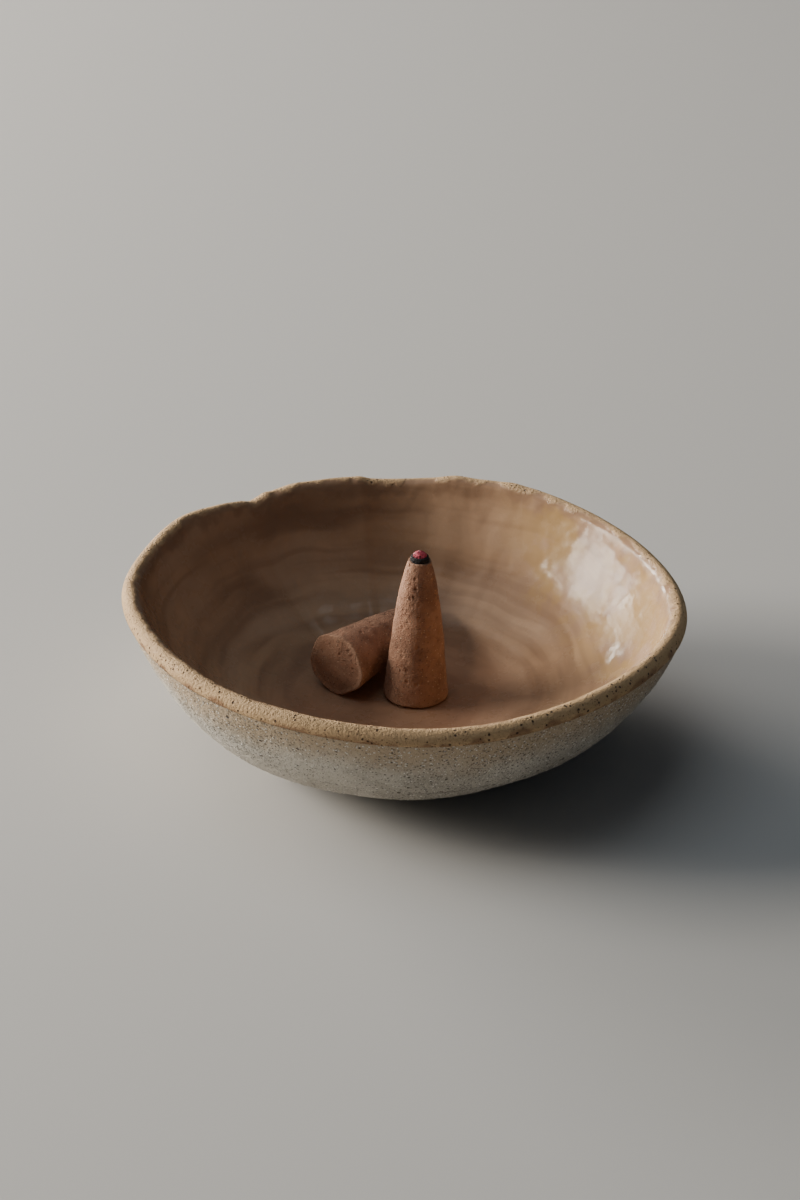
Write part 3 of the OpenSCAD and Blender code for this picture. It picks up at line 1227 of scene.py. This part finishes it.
@dataclass
class IncenseCone:
    """One pressed cone, made along its own axis and then set where its CAD node is.

    The mould's side runs in evenly by its taper, and its nose bends in further near the full height.
    The flats are worn places round the base: turn and half width in degrees, and depth. The flash is
    the thin fin that the mould leaves at the base, and the scar is where grains fell out of the side.
    """

    node: str
    body: str
    top: float
    tip_round: float
    place: Matrix
    base_r: float = 6.4 * MM
    full_h: float = 33.0 * MM
    taper: float = 0.1
    nose: float = 2.2 * MM
    nose_power: int = 5
    base_round: float = 0.5 * MM
    samples: int = 220
    base_rings: int = 26
    corner_rings: int = 8
    side_rings: int = 120
    tip_rings: int = 10
    flats: tuple[tuple[float, float, float], ...] = ()
    flat_height: float = 1.6 * MM
    flash: float = 0.0
    flash_height: float = 0.3 * MM
    flash_turn: float = 150.0
    edge_height: float = 0.7 * MM
    scar_turn: float = -106.0
    scar_half_turn: float = 0.32  # in radians
    scar_height: float = 23.0 * MM
    scar_half_height: float = 3.2 * MM
    pressing: Pressing = Pressing(
        lump_depth=0.42 * MM, lumps_per_metre=210.0, grit_depth=0.16 * MM, grit_per_metre=1900.0,
        pit_depth=0.2 * MM, pits_per_metre=1000.0,
    )

    def side(self, height: np.ndarray) -> np.ndarray:
        """Radius of the cone's side at heights above its base."""
        return self.base_r - self.taper * height - self.nose * (height / self.full_h) ** self.nose_power

    def _outline(self) -> np.ndarray:
        """Half the cone's outline, from near the middle of its base to near its top's middle.

        Returns:
            Rows of radius and height.
        """
        corner = np.radians(np.linspace(-90, 0, self.corner_rings))
        edge_r = self.side(np.array(self.base_round))
        corner_r = edge_r - self.base_round * (1 - np.cos(corner))
        edge = np.stack([corner_r, self.base_round * (1 + np.sin(corner))], -1)
        base = np.linspace(0.03 * edge_r, 0.985 * corner_r[0], self.base_rings)
        shoulder = self.top - self.tip_round
        heights = np.linspace(self.base_round, shoulder, self.side_rings)[1:]
        side = np.stack([self.side(heights), heights], -1)
        end_r = side[-1, 0]
        if self.tip_round > 0:
            turn = np.radians(np.linspace(0, 90, self.tip_rings + 2))[1:-1]
            tip = np.stack([end_r * np.cos(turn), shoulder + self.tip_round * np.sin(turn)], -1)
        else:
            flat_r = np.linspace(0.94, 0.05, self.tip_rings) * end_r
            tip = np.stack([flat_r, np.full(self.tip_rings, self.top)], -1)
        return np.concatenate([np.stack([base, 0 * base], -1), edge, side, tip])

    def make(self, relief: Relief, material: Material) -> Object:
        """Builds the cone and puts it in its place.

        Args:
            relief: the geometry trees.
            material: the pressed incense.

        Returns:
            The piece.
        """
        outline = self._outline()
        turns = even_turns(self.samples)
        out, height = outline[:, :1], outline[:, 1:]
        fin = self.flash * np.exp(-((height / self.flash_height) ** 2)) * (out > 0.9 * self.base_r)
        fin = fin * np.clip(np.cos(turns - math.radians(self.flash_turn)), 0, 1) ** 0.6
        worn = np.zeros_like(fin)
        for turn, half_width, depth in self.flats:
            away = np.degrees(turned_from(turns, turn))
            worn = worn + depth * (1 + np.cos(math.pi * np.clip(away / half_width, -1, 1))) / 2
        spread = out + fin - worn * np.exp(-height / self.flat_height) * out / self.base_r
        edge = np.exp(-((height / self.edge_height) ** 2)) * (out > 0.86 * self.base_r) + 0 * turns
        across = turned_from(turns, self.scar_turn) / self.scar_half_turn
        along = (height - self.scar_height) / self.scar_half_height
        marks = {"edge": edge, "scar": np.exp(-(across**2) - along**2)}
        rings = turned(spread, height, self.samples)
        skin = Skin(shown_name(self.node), rings, (0, 0, 0), (0, 0, self.top), marks)
        piece = grown(skin, relief.pressed, self.pressing, material)
        piece.data.transform(self.place)
        settle(piece, self.node, self.body)
        return piece


def upright_place(node: str) -> tuple[Matrix, float]:
    """Reads where a turned piece stands from its CAD node.

    Args:
        node: the CAD node, longer than it is wide, with its wide end at its base.

    Returns:
        The place of its base's middle, with the Z axis up the piece, and its length.
    """
    near = 0.5 * MM
    same = 0.001 * MM
    points = np.unique(np.round(node_points(node), 7), axis=0)
    axis = np.linalg.eigh(np.cov(points.T))[1][:, -1]
    along = points @ axis
    low_end = points[along < along.min() + near]
    high_end = points[along > along.max() - near]
    if np.ptp(low_end, axis=0).max() < np.ptp(high_end, axis=0).max():
        axis, along = -axis, -along
    base = points[along < along.min() + same].mean(axis=0)
    turn = Vector((0, 0, 1)).rotation_difference(Vector(axis)).to_matrix().to_4x4()
    return Matrix.Translation(Vector(base)) @ turn, float(np.ptp(along))


def span_along(node: str, place: Matrix) -> tuple[float, float, float]:
    """Reads how far a node reaches along a place's Z axis.

    Args:
        node: the CAD node.
        place: the place to measure in.

    Returns:
        Its lowest and highest height, and its largest radius.
    """
    away = place.inverted()
    points = [away @ vertex.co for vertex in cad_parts[node].data.vertices]
    heights = [point.z for point in points]
    return min(heights), max(heights), max(math.hypot(point.x, point.y) for point in points)


@dataclass
class BurningTip:
    """The char ring and the glowing ember on top of the burning cone."""

    place: Matrix
    body: str = "burning_cone"
    samples: int = 96
    char_rings: int = 60
    dome_rings: int = 25
    wall_rings: int = 8
    char_bore: float = 0.3 * MM
    dome_rise: float = 1.05 * MM
    scar: float = 0.3
    char_pressing: Pressing = Pressing(
        lump_depth=0.5 * MM, lumps_per_metre=600.0, grit_depth=0.24 * MM, grit_per_metre=2600.0,
        pit_depth=0.15 * MM, pits_per_metre=1800.0,
    )
    ember_pressing: Pressing = Pressing(
        lump_depth=0.45 * MM, lumps_per_metre=700.0, grit_depth=0.28 * MM, grit_per_metre=2300.0,
        pit_depth=0.2 * MM, pits_per_metre=1700.0,
    )

    def _turned_skin(self, node: str, outline: np.ndarray, low: float, high: float) -> Skin:
        """Turns an outline round the cone's axis.

        Args:
            node: the CAD node that the skin stands for.
            outline: rows of radius and height.
            low: the height of the closing point below.
            high: the height of the closing point above.

        Returns:
            The skin.
        """
        rings = turned(outline[:, :1], outline[:, 1:], self.samples)
        marks = {"scar": self.scar + 0 * rings[..., 0]}
        return Skin(shown_name(node), rings, (0, 0, low), (0, 0, high), marks)

    def char_ring(self, relief: Relief, material: Material) -> Object:
        """The burnt ring, whose top edge has crumbled.

        Args:
            relief: the geometry trees.
            material: the char.

        Returns:
            The piece.
        """
        low, high, outer = span_along("char_ring", self.place)
        tall = high - low
        corners = np.array([
            [self.char_bore, 0.0],
            [outer - 0.02 * MM, 0.0],
            [outer, 0.1 * MM],
            [outer, 0.55 * tall],
            [outer - 0.16 * MM, 0.9 * tall],
            [outer - 0.4 * MM, tall],
            [self.char_bore, 0.9 * tall],
        ])
        numbers = np.arange(len(corners))
        steps = np.linspace(0, numbers[-1], self.char_rings)
        outline = np.stack([np.interp(steps, numbers, column) for column in corners.T], -1)
        outline[:, 1] += low
        skin = self._turned_skin("char_ring", outline, low, low + 0.9 * tall)
        piece = grown(skin, relief.pressed, self.char_pressing, material)
        piece.data.transform(self.place)
        settle(piece, "char_ring", self.body)
        return piece

    def ember(self, relief: Relief, material: Material) -> Object:
        """The glowing dome.

        Args:
            relief: the geometry trees.
            material: the ember.

        Returns:
            The piece.
        """
        low, high, outer = span_along("ember", self.place)
        shoulder = high - self.dome_rise
        turn = np.radians(np.linspace(0, 90, self.dome_rings, endpoint=False))
        dome = np.stack([outer * np.cos(turn), shoulder + self.dome_rise * np.sin(turn)], -1)
        heights = np.linspace(low, shoulder, self.wall_rings, endpoint=False)[1:]
        wall = np.stack([np.full(len(heights), outer), heights], -1)
        base = [[0.4 * outer, low], [0.96 * outer, low]]
        outline = np.concatenate([base, wall, dome])
        skin = self._turned_skin("ember", outline, low, high)
        piece = grown(skin, relief.pressed, self.ember_pressing, material)
        piece.data.transform(self.place)
        settle(piece, "ember", self.body)
        return piece


# ---- Studio ----


@dataclass(frozen=True)
class Softbox:
    """One soft light, aimed at the middle of the bowl."""

    name: str
    way: tuple[float, float, float]
    distance: float
    size: tuple[float, float]
    power: float
    colour: tuple[float, float, float] = (1.0, 1.0, 1.0)

    def hang(self, target: Vector) -> None:
        """Hangs the light.

        Args:
            target: what it is aimed at.
        """
        data = bpy.data.lights.new(self.name, "AREA")
        data.shape = "RECTANGLE"
        data.size, data.size_y = self.size
        data.energy = self.power
        data.color = self.colour
        light = bpy.data.objects.new(self.name, data)
        way = Vector(self.way).normalized()
        light.location = target + way * self.distance
        light.rotation_euler = way.to_track_quat("Z", "Y").to_euler()
        bpy.context.scene.collection.objects.link(light)


@dataclass
class Studio:
    """The pale floor, the soft lights and the camera."""

    elevation: float = 28.5
    distance: float = 0.6423
    lens: float = 100.0
    sensor: float = 36.0
    shift: tuple[float, float] = (-4.5 / 1200.0, 5.5 / 1200.0)
    aim: tuple[float, float, float] = (2.33 * MM, -3.0 * MM, 27.5 * MM)
    floor_size: float = 4.0
    world: Colour = rgb(0.60, 0.70, 0.84)
    world_strength: float = 0.08
    lights: tuple[Softbox, ...] = (
        Softbox("side_window", (-0.93, 0.14, 0.36), 1.3, (0.6, 0.5), 27.0, (1.0, 0.95, 0.87)),
        Softbox("back_window", (-0.73, 0.64, 0.18), 1.3, (0.7, 0.42), 26.0, (1.0, 0.95, 0.89)),
        Softbox("top_fill", (-0.30, 0.10, 1.0), 1.5, (1.3, 1.3), 5.2, (0.84, 0.93, 1.0)),
    )

    def build(self) -> None:
        """Builds the studio."""
        low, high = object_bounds()
        middle = Vector((0.0, 0.0, (low.z + high.z) / 2))
        self._floor(low.z)
        self._sky()
        for light in self.lights:
            light.hang(middle)
        self._camera()

    def _floor(self, height: float) -> None:
        """Lays the floor under the object.

        Args:
            height: the object's lowest point.
        """
        half = self.floor_size / 2
        corners = [(-half, -half, height), (half, -half, height), (half, half, height), (-half, half, height)]
        mesh = bpy.data.meshes.new("floor")
        mesh.from_pydata(corners, [], [(0, 1, 2, 3)])
        mesh.materials.append(Paper().build())
        floor = bpy.data.objects.new("floor", mesh)
        bpy.context.scene.collection.objects.link(floor)
        floor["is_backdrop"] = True

    def _sky(self) -> None:
        """Sets the even light from all round."""
        world = bpy.data.worlds.new("studio")
        world.use_nodes = True
        background = world.node_tree.nodes["Background"]
        background.inputs["Color"].default_value = self.world
        background.inputs["Strength"].default_value = self.world_strength
        bpy.context.scene.world = world

    def _camera(self) -> None:
        """Places the camera in front of the object."""
        data = bpy.data.cameras.new("camera")
        data.lens = self.lens
        data.sensor_width = self.sensor
        data.shift_x, data.shift_y = self.shift
        data.dof.use_dof = False
        camera = bpy.data.objects.new("camera", data)
        angle = math.radians(self.elevation)
        way = Vector((0.0, -math.cos(angle), math.sin(angle)))
        camera.location = Vector(self.aim) + way * self.distance
        camera.rotation_euler = way.to_track_quat("Z", "Y").to_euler()
        bpy.context.scene.collection.objects.link(camera)
        bpy.context.scene.camera = camera


def main() -> None:
    """Builds the incense burner and its studio."""
    logging.basicConfig(level=logging.INFO, format="%(name)s %(message)s")
    effects = Effects()
    relief = Relief()
    incense = PressedIncense().build(effects)

    bowl = PinchedBowl()
    report(bowl.clay_wall(relief, BareStoneware().build(effects)))
    report(bowl.glaze_coat(relief, OatmealGlaze().build(effects)))

    worn_base = (
        (20, 32, 0.45 * MM), (85, 26, 0.3 * MM), (160, 36, 0.5 * MM), (225, 22, 0.35 * MM),
        (300, 34, 0.4 * MM),
    )
    burning_place, burning_top = upright_place("burning_cone")
    burning = IncenseCone(
        node="burning_cone", body="burning_cone", place=burning_place, top=burning_top, tip_round=0.0
    )
    report(burning.make(relief, incense))
    tip = BurningTip(burning_place)
    report(tip.char_ring(relief, Char().build(effects)))
    report(tip.ember(relief, GlowingEmber().build(effects)))

    spare_place, spare_top = upright_place("spare_cone")
    spare = IncenseCone(
        node="spare_cone", body="spare_cone", place=spare_place, top=spare_top, tip_round=0.7 * MM,
        base_round=0.25 * MM, flash=0.3 * MM, flats=worn_base,
    )
    report(spare.make(relief, incense))

    Studio().build()


if __name__ == "__main__":
    main()
